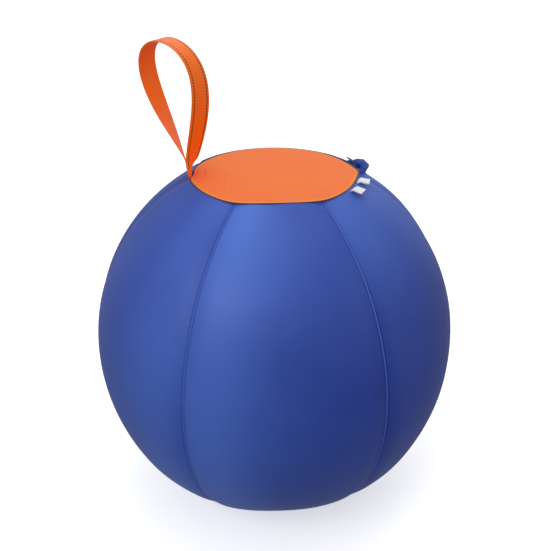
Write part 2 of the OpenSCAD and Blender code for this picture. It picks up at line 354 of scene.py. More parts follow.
def dress(piece, body, material, slot, *nodes):
    """Gives a finished piece its material and its body, and hides the CAD nodes it stands for."""
    if material is not None:
        piece.data.materials.clear()
        piece.data.materials.append(material)
    if body is not None:
        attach(piece, body)
    if nodes:
        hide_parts(*nodes)
    print(piece.name, len(piece.data.vertices), "vertices")
    return piece


# %% [markdown]
# ## Shader maths
# A material is a small calculation that runs at every point of a surface. Written as
# nodes by hand it is long, so one class wraps a socket and lets Python's operators add
# the Math nodes. Any other node comes from `node`, which takes the node's type, its
# settings and the values of its sockets.
# %% A socket that takes part in arithmetic


class Signal:
    """The output of a node, ready to be used in an expression."""

    def __init__(self, recipe, socket):
        self.recipe = recipe
        self.socket = socket

    def maths(self, operation, first, second=0.0):
        """A Math node on two signals or numbers."""
        values = {0: first, 1: second}
        return self.recipe.node("ShaderNodeMath", {"operation": operation}, values)

    def __add__(self, other):
        return self.maths("ADD", self, other)

    __radd__ = __add__

    def __sub__(self, other):
        return self.maths("SUBTRACT", self, other)

    def __rsub__(self, other):
        return self.maths("SUBTRACT", other, self)

    def __mul__(self, other):
        return self.maths("MULTIPLY", self, other)

    __rmul__ = __mul__

    def __truediv__(self, other):
        return self.maths("DIVIDE", self, other)

    def sine(self, pitch=None):
        """A sine of this signal, or a sine that repeats each pitch of it."""
        turns = self * (2 * math.pi / pitch) if pitch else self
        return self.maths("SINE", turns)

    def wave(self, pitch=None):
        """A sine moved into 0 to 1."""
        return self.sine(pitch) * 0.5 + 0.5

    def size(self):
        """The signal without its sign."""
        return self.maths("ABSOLUTE", self)

    def above(self, limit, softness=0.1):
        """0 below the limit and 1 above it, with a soft edge."""
        values = {"Value": self, "From Min": limit - softness, "From Max": limit + softness}
        settings = {"interpolation_type": "SMOOTHSTEP"}
        return self.recipe.node("ShaderNodeMapRange", settings, values)


class Recipe:
    """A node tree that is being written: for a material, or for Geometry Nodes."""

    def __init__(self, tree):
        self.tree = tree

    def node(self, kind, settings=None, values=None, out=0):
        made = self.tree.nodes.new(kind)
        for key, value in (settings or {}).items():
            setattr(made, key, value)
        for key, value in (values or {}).items():
            if isinstance(value, Signal):
                self.tree.links.new(value.socket, made.inputs[key])
            elif value is not None:
                made.inputs[key].default_value = value
        return Signal(self, made.outputs[out] if len(made.outputs) else None)

    def also(self, signal, name):
        """Another output of the node that a signal comes from."""
        return Signal(self, signal.socket.node.outputs[name])


# %% [markdown]
# Cloth colours are best given as they look on a screen and turned into the linear light
# that the renderer works in. `Finish` starts a material, offers the patterns that the
# cloths share, and closes with the Principled shader: numbers that are the same all over
# go straight on its sockets.
# %% Finishes


def screen(red, green, blue):
    """A colour as a screen shows it, 0 to 255, in linear light."""
    linear = []
    for value in (red, green, blue):
        share = value / 255
        linear.append(share / 12.92 if share <= 0.04045 else ((share + 0.055) / 1.055) ** 2.4)
    return (*linear, 1.0)


class Finish(Recipe):
    """One material, from its patterns to its Principled shader."""

    def __init__(self, name):
        self.material = bpy.data.materials.new(name)
        self.material.use_nodes = True
        super().__init__(self.material.node_tree)
        self.tree.nodes.clear()

    def cloth(self):
        """The two flat coordinates of the cloth, in metres."""
        flat = self.node("ShaderNodeUVMap", {"uv_map": "UVMap"})
        across = self.node("ShaderNodeSeparateXYZ", None, {0: flat})
        return across, self.also(across, "Y"), flat

    def place(self):
        """The point in the object's own coordinates."""
        return self.node("ShaderNodeTexCoord", out="Object")

    def noise(self, vector, scale, detail=2.0, roughness=0.5):
        values = {"Vector": vector, "Scale": scale, "Detail": detail, "Roughness": roughness}
        return self.node("ShaderNodeTexNoise", None, values)

    def stored(self, name):
        """The number that a mesh keeps at each vertex under this name."""
        return self.node("ShaderNodeAttribute", {"attribute_name": name}, out="Fac")

    def mix(self, share, first, second):
        """A colour between two colours."""
        settings = {"data_type": "RGBA", "clamp_factor": True}
        return self.node("ShaderNodeMix", settings, {0: share, 6: first, 7: second}, out=2)

    def bump(self, height, strength, distance):
        values = {"Height": height, "Strength": strength, "Distance": distance}
        return self.node("ShaderNodeBump", None, values)

    def close(self, **sockets):
        """Ends the material in a Principled shader with these sockets."""
        values = {key.replace("_", " "): value for key, value in sockets.items()}
        shader = self.node("ShaderNodeBsdfPrincipled", None, values)
        self.node("ShaderNodeOutputMaterial", None, {"Surface": shader})
        return self.material


# %% [markdown]
# ### Blue satin cover cloth
# The gores are a coated nylon with a fine diamond weave whose long float threads shine
# softly. Its colour runs from a deep blue to a milky blue by a painted sheen: bands of
# painted highlight and shade, kept at each vertex, that differ from gore to gore. The weave
# is two diagonal sines on the cloth's own coordinates. Each vertex also keeps how near it
# is to a seam, where the cloth is creased and a painted shade darkens it.
# %% Cover cloth
WEAVE_PITCH = 3.0 * MM


def cover_cloth(name, deep, bright):
    cloth = Finish(name)
    across, along, flat = cloth.cloth()
    diamonds = (across + along).sine(WEAVE_PITCH) * (across - along).sine(WEAVE_PITCH)
    speckle = cloth.noise(flat, 900.0, 1.0)
    slubs = cloth.noise(flat, 16.0, 3.0)
    painted_sheen = cloth.stored("painted_sheen")
    painted_crease_shade = cloth.stored("painted_crease_shade")
    # Painted sheen lightens the blue and painted shade darkens it in the creases; weave and slubs add
    # pattern.
    light = painted_sheen + diamonds * 0.15 + speckle * 0.1 + slubs * 0.14 - painted_crease_shade * 0.35 + 0.02
    colour = cloth.mix(light, deep, bright)
    relief = diamonds * 0.7 + speckle * 0.4
    return cloth.close(
        Base_Color=colour,
        Roughness=slubs * 0.12 + 0.36 + painted_crease_shade * 0.2,
        Specular_IOR_Level=0.3,
        Sheen_Weight=0.06,
        Sheen_Roughness=0.4,
        Sheen_Tint=screen(120, 150, 255),
        Normal=cloth.bump(relief, 0.35, 0.15 * MM),
    )


satin = cover_cloth("cover_cloth", screen(8, 32, 134), screen(84, 124, 222))

# %% [markdown]
# ### Orange disc cloth
# The disc's cloth has ribs that run from front to back, about 3.6 mm apart, and a fine
# mesh between them. It is duller than the satin. Its rolled edge has a painted highlight,
# and round the loop's foot a painted shade makes it deeper.
# %% Disc cloth
RIB_PITCH = 3.6 * MM
MESH_PITCH = 1.5 * MM


def ribbed_cloth(name, deep, bright):
    cloth = Finish(name)
    across, along, flat = cloth.cloth()
    rib = across.wave(RIB_PITCH)
    mesh = along.wave(MESH_PITCH) * across.wave(MESH_PITCH)
    cloud = cloth.noise(flat, 14.0, 3.0)
    edge = cloth.stored("edge")
    painted_foot_shade = cloth.stored("painted_foot_shade")
    # The rolled edge gets a painted highlight, and the loop's foot a painted shade.
    light = rib * 0.22 + mesh * 0.28 + cloud * 0.3 + edge * 0.5 - painted_foot_shade * 0.6 + 0.12
    return cloth.close(
        Base_Color=cloth.mix(light, deep, bright),
        Roughness=0.66 - edge * 0.1,
        Specular_IOR_Level=0.3,
        Sheen_Weight=0.05,
        Sheen_Roughness=0.5,
        Sheen_Tint=screen(255, 160, 100),
        Normal=cloth.bump(rib * 0.6 + mesh, 0.5, 0.25 * MM),
    )


orange_cloth = ribbed_cloth("disc_cloth", screen(250, 92, 26), screen(255, 150, 70))

# %% [markdown]
# ### Webbing
# The loop is flat woven webbing. Both faces show cross ribs, and the outer face has two
# lines of dark thread near its edges. The face is known from the flat coordinates: the
# first one runs from 0 to the width on the outer face, and back on the inner face past
# the width, so the lines are drawn only where it is within the width. A faint glow stands
# for the fluorescent dye and also paints light into the webbing where it lies in shade.
# %% Webbing finish
WEB_W = 25 * MM
WEB_T = 1.6 * MM
WEB_RIB = 2.1 * MM
YARN_PITCH = 1.1 * MM
DASH_PITCH = 3.4 * MM
LINE_FROM_EDGE = 3.6 * MM
LINE_HALF = 0.85 * MM


def webbing_finish(name, deep, bright, line):
    web = Finish(name)
    across, along, flat = web.cloth()
    turns = 2 * math.pi / WEB_RIB
    rib = (along * turns + across.sine(WEB_W / 10) * 0.7).wave()
    yarn = across.wave(YARN_PITCH)
    cloud = web.noise(flat, 60.0, 3.0)
    from_middle = (across / WEB_W - 0.5).size()
    near = (from_middle - (0.5 - LINE_FROM_EDGE / WEB_W)).size()
    in_line = 1 - near.above(LINE_HALF / WEB_W, 0.15 * MM / WEB_W)
    dash = along.sine(DASH_PITCH).above(-0.2, 0.15)
    colour = web.mix(rib * 0.35 + yarn * 0.2 + cloud * 0.4, deep, bright)
    colour = web.mix(in_line * (dash * 0.8 + 0.15), colour, line)
    return web.close(
        Base_Color=colour,
        Roughness=0.38,
        Specular_IOR_Level=0.9,
        Specular_Tint=screen(255, 225, 150),
        # Painted light: a faint glow that also brightens the webbing where it lies in shade.
        Emission_Color=web.mix(in_line, deep, line),
        Emission_Strength=0.16,
        Sheen_Weight=0.12,
        Sheen_Roughness=0.3,
        Sheen_Tint=screen(255, 190, 110),
        Normal=web.bump(rib + yarn * 0.6, 0.6, 0.3 * MM),
    )


WEB_COLOURS = (screen(246, 78, 4), screen(255, 136, 24), screen(30, 12, 34))
web_material = webbing_finish("webbing", *WEB_COLOURS)

# %% [markdown]
# ### Threads, tapes, labels, plastic and film
# The small parts share a few simple finishes. Thread is fuzzy. Tape is a herringbone,
# the label a smooth satin with a faint rib, the base a plain weave, and the moulded
# parts and the bladder's film have a soft gloss that varies where they are rubbed.
# %% Small finishes


def thread_finish(name, colour, dark):
    thread = Finish(name)
    fuzz = thread.noise(thread.place(), 2600.0, 2.0)
    return thread.close(
        Base_Color=thread.mix(fuzz, dark, colour),
        Roughness=0.55,
        Sheen_Weight=0.3,
        Normal=thread.bump(fuzz, 0.5, 0.1 * MM),
    )


def tape_finish(name, deep, bright):
    tape = Finish(name)
    across, along, flat = tape.cloth()
    zigzag = across.sine(2.4 * MM) * 0.9
    herring = (along * (2 * math.pi / (0.9 * MM)) + zigzag * 2.0).wave()
    fuzz = tape.noise(flat, 1200.0, 2.0)
    return tape.close(
        Base_Color=tape.mix(herring * 0.5 + fuzz * 0.5, deep, bright),
        Roughness=0.7,
        Sheen_Weight=0.3,
        Normal=tape.bump(herring, 0.5, 0.15 * MM),
    )


def label_finish(name):
    label = Finish(name)
    across, along, flat = label.cloth()
    satin_rib = across.wave(0.7 * MM)
    cloud = label.noise(flat, 140.0, 2.0)
    white = label.mix(cloud * 0.7 + satin_rib * 0.3, screen(222, 224, 232), screen(252, 252, 252))
    return label.close(
        Base_Color=white,
        Roughness=0.4,
        Sheen_Weight=0.2,
        Normal=label.bump(satin_rib, 0.25, 0.08 * MM),
    )


def moulded_finish(name, deep, bright, roughness, coat, metallic=0.0):
    moulded = Finish(name)
    cloud = moulded.noise(moulded.place(), 90.0, 3.0)
    grain = moulded.noise(moulded.place(), 1800.0, 2.0)
    return moulded.close(
        Base_Color=moulded.mix(cloud, deep, bright),
        Metallic=metallic,
        Roughness=cloud * 0.15 + roughness,
        Coat_Weight=coat,
        Normal=moulded.bump(grain, 0.15, 0.05 * MM),
    )


def coated_cloth(name, deep, bright):
    cloth = Finish(name)
    across, along, flat = cloth.cloth()
    weave = across.sine(1.6 * MM) * along.sine(1.6 * MM)
    wear = cloth.noise(flat, 30.0, 4.0)
    return cloth.close(
        Base_Color=cloth.mix(wear * 0.8 + weave * 0.2, deep, bright),
        Roughness=0.5 + wear * 0.25,
        Normal=cloth.bump(weave, 0.4, 0.15 * MM),
    )


navy_thread = thread_finish("navy_thread", screen(34, 40, 98), screen(10, 14, 48))
maroon_thread = thread_finish("maroon_thread", screen(110, 34, 46), screen(58, 14, 34))
orange_thread = thread_finish("orange_thread", screen(255, 132, 64), screen(245, 104, 44))
tape_material = tape_finish("zip_tape", screen(20, 28, 84), screen(44, 58, 134))
label_material = label_finish("label_satin")
teeth_material = moulded_finish("zip_teeth", screen(20, 28, 88), screen(42, 54, 128), 0.35, 0.2)
metal_material = moulded_finish("zip_metal", screen(24, 34, 96), screen(50, 64, 140), 0.3, 0.5, 0.3)
film_material = moulded_finish("bladder_film", screen(150, 172, 200), screen(190, 206, 226), 0.22, 0.3)
plastic_material = moulded_finish("valve_plastic", screen(222, 226, 230), screen(246, 248, 250), 0.25, 0.3)
base_material = coated_cloth("base_cloth", screen(22, 30, 84), screen(46, 60, 130))
print("materials", len(bpy.data.materials))

# %% [markdown]
# ## Camera, floor and light
# The camera looks down on the ball from the front, far enough away that the loop fits.
# It is placed by an azimuth, an elevation and a distance in ball radii, and
# aims at a point on the ball's axis somewhat above the middle.
# %% Camera
AZIMUTH = math.radians(-3.69)
ELEVATION = math.radians(31.61)
DISTANCE = 4.61 * BALL_R
LENS_MM = 51.6
AIM = Vector((0.0015, 0, 0.686 * TOP_Z))


def aimed(kind, data, place, target):
    """Links a camera or light at a place, looking at a target."""
    holder = linked(kind, data)
    holder.location = place
    holder.rotation_euler = (Vector(target) - Vector(place)).to_track_quat("-Z", "Y").to_euler()
    return holder


lens = bpy.data.cameras.new("camera")
lens.lens = LENS_MM
lens.sensor_width = 36
level = math.cos(ELEVATION)
backwards = Vector((math.sin(AZIMUTH) * level, -math.cos(AZIMUTH) * level, math.sin(ELEVATION)))
eye = Vector((0, 0, EQUATOR_Z)) + backwards * DISTANCE
camera = aimed("camera", lens, eye, AIM)
bpy.context.scene.camera = camera
print("camera at", [round(x, 3) for x in eye])

# %% [markdown]
# A pale floor that curves up behind the ball, like a paper sweep, gives a background
# without a horizon. It doesn't light the ball: the light is a bright room with a large
# soft box high on the left, a weak one on the right, and one each above and behind, so
# the satin shows broad soft highlights.
# %% Floor and lights
PAPER_R = 9.0
PAPER_RISE_FROM = 5.0
PAPER_RISE = 6.0


def paper_sweep():
    """A round floor of paper: flat in the middle, turned up far away."""
    radius = np.linspace(0.02, PAPER_R, 40)[:, None]
    height = PAPER_RISE * smoothstep(PAPER_RISE_FROM, PAPER_R, radius)
    points = round_place(radius, around(64), height)
    flat = np.zeros((*points.shape[:2], 2))
    paper = grid_piece("paper_sweep", points, wrapped(flat), closed_columns=True)
    paper.data.materials.append(paper_finish())
    paper.visible_diffuse = False
    paper.visible_glossy = False


def paper_finish():
    paper = Finish("paper")
    cloud = paper.noise(paper.place(), 3.0, 2.0)
    return paper.close(
        Base_Color=paper.mix(cloud, (0.93, 0.93, 0.93, 1), (0.96, 0.96, 0.96, 1)),
        Roughness=0.9,
        Emission_Color=(1, 1, 1, 1),
        Emission_Strength=0.5,
    )


def soft_box(name, place, size, power):
    """A lamp with a broad face, aimed at the middle of the ball."""
    light = bpy.data.lights.new(name, "AREA")
    light.shape = "RECTANGLE"
    light.size, light.size_y = size
    light.energy = power
    aimed(name, light, place, (0, 0, EQUATOR_Z))


paper_sweep()
soft_box("key_box", (-1.5, -1.6, 1.9), (1.3, 1.3), 17)
soft_box("fill_box", (1.9, -1.1, 1.0), (1.2, 1.6), 3)
soft_box("top_box", (0.1, 0.2, 2.4), (1.6, 1.6), 8)
soft_box("back_box", (0.6, 2.2, 1.2), (1.6, 1.2), 6)
room = bpy.data.worlds.new("room")
room.use_nodes = True
air = Recipe(room.node_tree)
where = air.node("ShaderNodeTexCoord", out="Generated")
height = air.also(air.node("ShaderNodeSeparateXYZ", None, {0: where}), "Z")
limits = {"From Min": -0.5, "From Max": 0.6, "To Min": 0.28, "To Max": 0.62}
glow = air.node("ShaderNodeMapRange", None, {"Value": height, **limits})
background = room.node_tree.nodes["Background"]
room.node_tree.links.new(glow.socket, background.inputs["Strength"])
background.inputs["Color"].default_value = (1, 1, 1, 1)
bpy.context.scene.world = room
bpy.context.scene.view_settings.view_transform = "Standard"

# %% [markdown]
# ## The six gores
# A gore is a pointed-oval strip of cloth that runs from the base to the top disc. It
# could be a smooth patch, but cloth that is pulled over a bladder is never smooth: it
# sinks into a shallow valley along each seam, puckers where the thread pulls it, and
# creases where it was folded. Each of these is a small offset along the surface's
# normal, so they are added up as one field. The rows are close together, and the
# columns crowd towards the seams, where the small shapes are.
# %% How far the cloth stands off the plain cover
VALLEY = 2.0 * MM
VALLEY_WIDTH = 11 * MM
# Each crease's direction in radians, its place along the cloth in metres, and its depth in mm
CREASES = ((0.9, 0.30, 0.22), (1.1, 0.335, 0.16), (0.75, 0.37, 0.2))


def seam_distance(theta, lat):
    """Metres along the cloth to the nearest seam between two gores."""
    radius, _ = profile(lat)
    off = GORE_ANGLE / 2 - np.abs(theta % GORE_ANGLE - GORE_ANGLE / 2)
    return radius * np.radians(off)


def rim_distance(lat):
    """Metres down the side from the top disc's edge."""
    steps = np.linspace(BASE_LAT, RIM_LAT, 400)
    radius, height = profile(steps)
    length = lengths_from(np.hypot(np.diff(radius), np.diff(height)))
    return length[-1] - np.interp(lat, steps, length)


SIDE_LENGTH = float(rim_distance(BASE_LAT))


def cloth_offset(theta, lat):
    """How far the cloth lies outside the plain cover, in metres."""
    gap = seam_distance(theta, lat)
    down = rim_distance(lat)
    radius, _ = profile(lat)
    across = radius * np.radians(angle_from(0, theta))
    valley = -VALLEY * hump(0, VALLEY_WIDTH, gap) - 1.0 * MM * hump(0, 1.2 * MM, gap)
    slack = 0.5 * MM * ripple(theta / 40, lat / 34, 3) * smoothstep(0, 40 * MM, gap)
    pull = ripple(down / (9 * MM), gap / (30 * MM), 5)
    puckers = 0.16 * MM * pull * np.exp(-gap / (13 * MM)) * smoothstep(0.5 * MM, 4 * MM, gap)
    gathers = np.sin(np.radians(theta) * 74) + 0.6 * np.sin(np.radians(theta) * 121 + 1.0)
    by_rim = np.exp(-down / (28 * MM)) * smoothstep(0, 6 * MM, down)
    by_labels = 1 + 1.6 * hump(0, 26, angle_from(-32, theta))
    by_base = np.exp(-(SIDE_LENGTH - down) / (30 * MM))
    streaks = 0.10 * MM * gathers * (by_rim * by_labels + by_base)
    return valley + slack + puckers + streaks + fold_lines(across, down)


def fold_lines(across, down):
    """Faint straight creases, low on the left of the front gore and beside it."""
    total = 0
    for turn, reach, depth in CREASES:
        line = across * math.sin(turn) + down * math.cos(turn) - reach
        along = across * math.cos(turn) - down * math.sin(turn)
        total = total - depth * MM * hump(0, 3.5 * MM, line) * hump(-0.62, 0.12, along)
    return total


# %% [markdown]
# The zip lies in a gap between the top disc and the three gores behind it. There the
# cover's cloth ends on the zip's tape instead of at the disc. The slider parks beyond
# the chain's closed end, so the cloth keeps clear of that place as well.
# %% Where each gore ends at the top
CLOTH_T = 0.5 * MM
FLOOR_GAP = 0.4 * MM
ZIP_CLEAR = 3.5
GAP_FROM = slope_place("zip_slider")[0][0] - 1.0
GAP_TO = ZIP_ANGLES[1] + 7.5
EDGE_ON_TAPE = ZIP_W - 2.4 * MM


def beside_zip(theta):
    """1 where the cloth ends on the zip's tape, 0 where it ends at the disc."""
    theta = np.asarray(theta, float)
    after_start = smoothstep(GAP_FROM - ZIP_CLEAR, GAP_FROM, theta)
    return after_start * (1 - smoothstep(GAP_TO, GAP_TO + ZIP_CLEAR, theta))


def top_lat(theta):
    """The latitude of the cloth's top edge."""
    down = 0.2 * MM + EDGE_ON_TAPE * beside_zip(theta)
    lats = np.linspace(RIM_LAT - 12, RIM_LAT, 200)
    return np.interp(-down, -rim_distance(lats), lats)


def surface(theta, lat, lift=0.0):
    """Points of the cover's cloth, lifted off it by some metres and kept off the floor."""
    theta, lat = np.broadcast_arrays(np.asarray(theta, float), np.asarray(lat, float))
    off = (cloth_offset(theta, lat) + lift)[..., None]
    points = cover(theta, lat) + outward(theta, lat) * off
    points[..., 2] = np.maximum(points[..., 2], FLOOR_GAP)
    return points


# %% [markdown]
# Each gore is cut with its own grain and has its own painted sheen. The painted sheen,
# the turn of its weave and the painted shade in its creases are kept with the cloth for
# the finish to read.
# %% The gores themselves
# For each gore's painted sheen: its middle brightness, its first and second sides' bands,
# its top and foot
GORE_PAINTED_SHEEN = (
    (0.34, 0.06, 0.04, 0.10, 0.04),
    (0.40, 0.05, 0.05, 0.10, 0.04),
    (0.30, 0.05, -0.16, 0.00, 0.06),
    (0.20, 0.02, 0.27, 0.00, 0.16),
    (0.15, 0.42, -0.05, 0.20, 0.05),
    (0.00, 0.10, 0.05, 0.42, 0.10),
)
GORE_ROWS = 300
GORE_COLUMNS = 112
# How far each gore's weave is turned from its middle line, in degrees
GORE_GRAIN = (3, -2, 4, -4, 2, 12)


def painted_sheen_of(gore, theta, lat):
    """How bright the painted sheen is at a place of a gore."""
    share = (theta - gore * GORE_ANGLE) / GORE_ANGLE
    base, left, right, top, low = GORE_PAINTED_SHEEN[gore]
    bands = left * hump(0.12, 0.27, share) + right * hump(0.85, 0.25, share)
    ends = top * smoothstep(20, 60, lat) + low * smoothstep(5, 45, -lat)
    return base + bands + ends + 0.04 * ripple(share * 2, lat / 40, 11 + gore)


def make_gore(gore):
    """One gore, from the base's edge to its top edge."""
    spread = np.linspace(-1, 1, GORE_COLUMNS)
    share = 0.5 + 0.5 * (0.2 * spread + 0.8 * np.sin(spread * math.pi / 2))
    theta = (gore + share)[None, :] * GORE_ANGLE
    rise = np.linspace(0, 1, GORE_ROWS)[:, None]
    lat = BASE_LAT + (top_lat(theta) - BASE_LAT) * rise
    theta = np.broadcast_to(theta, lat.shape)
    on_tape = beside_zip(theta) * hump(0, 9 * MM, rim_distance(lat) - EDGE_ON_TAPE)
    points = surface(theta, lat, 0.7 * MM * on_tape)
    radius, _ = profile(lat)
    middle = (gore + 0.5) * GORE_ANGLE
    flat = np.stack([radius * np.radians(theta - middle), SIDE_LENGTH - rim_distance(lat)], -1)
    grain = math.radians(GORE_GRAIN[gore])
    cos, sin = math.cos(grain), math.sin(grain)
    turn = np.array([[cos, -sin], [sin, cos]])
    piece = grid_piece(f"gore_cloth_{gore + 1}", points, flat @ turn.T)
    gap = seam_distance(theta, lat)
    # Painted shade in the creases along the seams.
    painted_crease_shade = hump(0, 2.2 * MM, gap) * 0.7 + hump(0, 14 * MM, gap) * 0.16
    # The gore's painted sheen: bands of painted highlight and shade.
    paint_sheen_and_shade(piece, painted_sheen_of(gore, theta, lat), painted_crease_shade)
    thicken(piece, CLOTH_T)
    dress(piece, "root", satin, "cover_cloth", f"gore_{gore + 1}")


for gore in range(GORES):
    make_gore(gore)

# %% [markdown]
# ## Rows of stitches
# A seam shows hundreds of equal stitches that follow a line, which is what Geometry
# Nodes are for. The tree turns a line of edges into a curve, places a point every
# pitch, and puts one small capsule on each point, pointed along the line. Its sizes
# and material are inputs, so one tree makes every row of stitches on the ball, and the
# same tree makes the turns of the zip's coil.
# %% A Geometry Nodes tree for what repeats along a line


def stitch_tree():
    """The tree: its inputs, and the nodes that turn a line into stitches."""
    tree = bpy.data.node_groups.new("stitch_row", "GeometryNodeTree")
    tree.interface.new_socket("Line", in_out="INPUT", socket_type="NodeSocketGeometry")
    for name in ("Pitch", "Length", "Width", "Height"):
        tree.interface.new_socket(name, in_out="INPUT", socket_type="NodeSocketFloat")
    tree.interface.new_socket("Thread", in_out="INPUT", socket_type="NodeSocketMaterial")
    tree.interface.new_socket("Stitches", in_out="OUTPUT", socket_type="NodeSocketGeometry")
    row = Recipe(tree)
    entry = row.node("NodeGroupInput", out="Line")
    line = row.node("GeometryNodeMeshToCurve", None, {"Mesh": entry})
    spacing = {"Curve": line, "Length": row.also(entry, "Pitch")}
    places = row.node("GeometryNodeCurveToPoints", {"mode": "LENGTH"}, spacing)
    capsule = row.node("GeometryNodeMeshUVSphere", None, {"Segments": 6, "Rings": 5, "Radius": 0.5})
    sizes = {"X": "Height", "Y": "Width", "Z": "Length"}
    sizes = {axis: row.also(entry, name) for axis, name in sizes.items()}
    size = row.node("ShaderNodeCombineXYZ", None, sizes)
    values = {
        "Points": places,
        "Instance": capsule,
        "Rotation": row.also(places, "Rotation"),
        "Scale": size,
    }
    placed = row.node("GeometryNodeInstanceOnPoints", None, values)
    real = row.node("GeometryNodeRealizeInstances", None, {"Geometry": placed})
    smooth = row.node("GeometryNodeSetShadeSmooth", None, {"Geometry": real})
    paint = {"Geometry": smooth, "Material": row.also(entry, "Thread")}
    painted = row.node("GeometryNodeSetMaterial", None, paint)
    row.node("NodeGroupOutput", None, {"Stitches": painted})
    return tree


STITCH_TREE = stitch_tree()


def line_mesh(name, lines):
    """A mesh of edges along one or more lines of points."""
    points = np.concatenate(lines)
    edges = []
    start = 0
    for line in lines:
        edges += [(start + i, start + i + 1) for i in range(len(line) - 1)]
        start += len(line)
    mesh = bpy.data.meshes.new(name)
    mesh.from_pydata(points.tolist(), edges, [])
    return linked(name, mesh)


def stitch_along(name, lines, pitch, length, width, height, material):
    """Rows of stitches along lines, as a plain mesh."""
    piece = line_mesh(name, lines)
    modifier = piece.modifiers.new("stitches", "NODES")
    modifier.node_group = STITCH_TREE
    values = {"Pitch": pitch, "Length": length, "Width": width, "Height": height, "Thread": material}
    for item in STITCH_TREE.interface.items_tree:
        if item.in_out == "INPUT" and item.name in values:
            modifier[item.identifier] = values[item.name]
    return finished(piece)


def navy_row(name, lines, pitch, length, width, height):
    """Rows of navy stitches that stay with the cover; their sizes are in millimetres."""
    sizes = [size * MM for size in (pitch, length, width, height)]
    dress(stitch_along(name, lines, *sizes, navy_thread), "root", None, "navy_thread")


# %% [markdown]
# ## Tubes and ribbons along a line
# Piping, beads, welts and webbing are all one outline carried along a path. Given the
# path's points and two directions at each point, the outline's own coordinates place
# every ring, and the rings form a grid piece. Each end is closed with one face.
# %% An outline carried along a path


def round_outline(wide, high, count):
    """Points of an ellipse, counter-clockwise."""
    turn = np.linspace(0, 2 * math.pi, count, endpoint=False)
    return np.stack([wide / 2 * np.cos(turn), high / 2 * np.sin(turn)], -1)


def side_lengths(outline):
    """The lengths of the sides of a closed outline."""
    return np.linalg.norm(np.roll(outline, -1, axis=0) - outline, axis=1)


def carried(name, path, side, up, outline, closed=False, flat_u=None):
    """Carries an outline along a path; side and up are directions at each point."""
    wide, high = (outline[:, axis][None, :, None] for axis in (0, 1))
    points = path[:, None, :] + (wide * side[:, None, :] + high * up[:, None, :])
    along = lengths_from(np.linalg.norm(np.diff(path, axis=0), axis=1))
    if flat_u is None:
        flat_u = lengths_from(side_lengths(outline))
    flat = stacked(flat_u[None, :], along[:, None])
    if closed:
        flat = np.concatenate([flat, flat[:1] + [[[0, along[-1]]]]])
    piece = grid_piece(name, points, flat, closed_rows=closed, closed_columns=True)
    if not closed:
        close_ends(piece, len(path), len(outline))
    return piece


def close_ends(piece, rings, count):
    """Closes the two open ends of a tube with one face each."""
    close_rings(piece, (range(count)[::-1], range((rings - 1) * count, rings * count)))


def joined(name, parts):
    """Joins finished pieces of one body and one material into one."""
    work = bmesh.new()
    for part in parts:
        work.from_mesh(part.data)
    mesh = bpy.data.meshes.new(name)
    work.to_mesh(mesh)
    work.free()
    mesh.shade_smooth()
    for part in parts:
        bpy.data.objects.remove(part)
    return linked(name, mesh)


# %% [markdown]
# ## Seams between the gores
# Where two gores are sewn, their turned-in edges make a narrow welt, with a row of
# navy stitches in the crease on each side. The welt is a small rounded outline carried
# up the cover along each seam line. It stops at the zip and at the base.
# %% Welts and their stitches
WELT_W = 2.1 * MM
WELT_H = 1.5 * MM
WELT_LIFT = 0.55 * MM
# How far to each side of the seam its stitches lie, and how far off the cloth
STITCH_ASIDE = 1.5 * MM
STITCH_LIFT = 0.35 * MM
SEAM_STEPS = 150
SEAM_ANGLES = [gore * GORE_ANGLE for gore in range(GORES)]


def seam_frame(theta):
    """A seam's line on the cloth, its direction across and its direction outwards."""
    lat = np.linspace(BASE_LAT, float(top_lat(theta)), SEAM_STEPS)
    line = surface(theta, lat)
    up = outward(theta, lat)
    along = unit(np.gradient(line, axis=0))
    return line, unit(np.cross(along, up)), up


def make_welts():
    """A welt on each seam, all in one piece."""
    outline = round_outline(WELT_W, WELT_H, 14)
    parts = []
    for angle in SEAM_ANGLES:
        line, side, up = seam_frame(angle)
        parts.append(carried("welt", line + up * WELT_LIFT, side, up, outline))
    welts = joined("seam_welts", parts)
    count = len(welts.data.vertices)
    paint_sheen_and_shade(welts, np.full(count, 0.5), np.zeros(count))
    dress(welts, "root", satin, "cover_cloth", "gore_seams")


def make_seam_stitches():
    """A row of stitches in the crease on each side of each welt."""
    lines = []
    for angle in SEAM_ANGLES:
        line, side, up = seam_frame(angle)
        for off in (-STITCH_ASIDE, STITCH_ASIDE):
            lines.append((line + side * off + up * STITCH_LIFT)[2:-2])
    navy_row("seam_stitches", lines, 2.9, 2.5, 0.75, 0.6)


make_welts()
make_seam_stitches()

# %% [markdown]
# ## The top disc
# One round piece of ribbed cloth, drawn nearly straight where the front gore pulls it.
# Its edge is turned under in a soft roll. On the ball, the part behind the fold lifts with
# the zip; the whole disc is one sheet, as the real cloth is: a disc in two parts would tear
# open at the fold.
# %% The disc's cloth
ROLL = 1.1 * MM
DISC_T = 0.5 * MM
CROWN = 1.6 * MM
# The disc reaches over the zip at the rear, and makes room for the loop's foot
REACH_AT_REAR = 1.4 * MM
NOTCH_AT_FOOT = 1.6 * MM
DISC_ROWS = 90
DISC_COLUMNS = 480


def rim_radius(theta):
    """The radius of the cover's top edge at an angle."""
    return RIM_R * cover_radius_share(np.asarray(theta, float), RIM_LAT)


def disc_height(x, y):
    """The height of the disc's cloth over the plain rim: a soft crown and shallow waves."""
    share = np.clip(np.hypot(x, y) / RIM_R, 0, 1)
    crown = CROWN * (1 - share**2)
    waves = 0.35 * MM * ripple(x / 0.07, y / 0.09, 21)
    near_foot = hump(0, 12 * MM, np.hypot(x - FOOT.x, (y - FOOT.y) * 0.6))
    return crown + waves * (1 - share**4) - 0.9 * MM * near_foot


def hinge_of(name):
    """The place of a joint."""
    joint = next(j for j in frame["joints"] if j["name"] == name)
    return Vector(joint["pos_m"])


FOOT = hinge_of("loop_hinge")


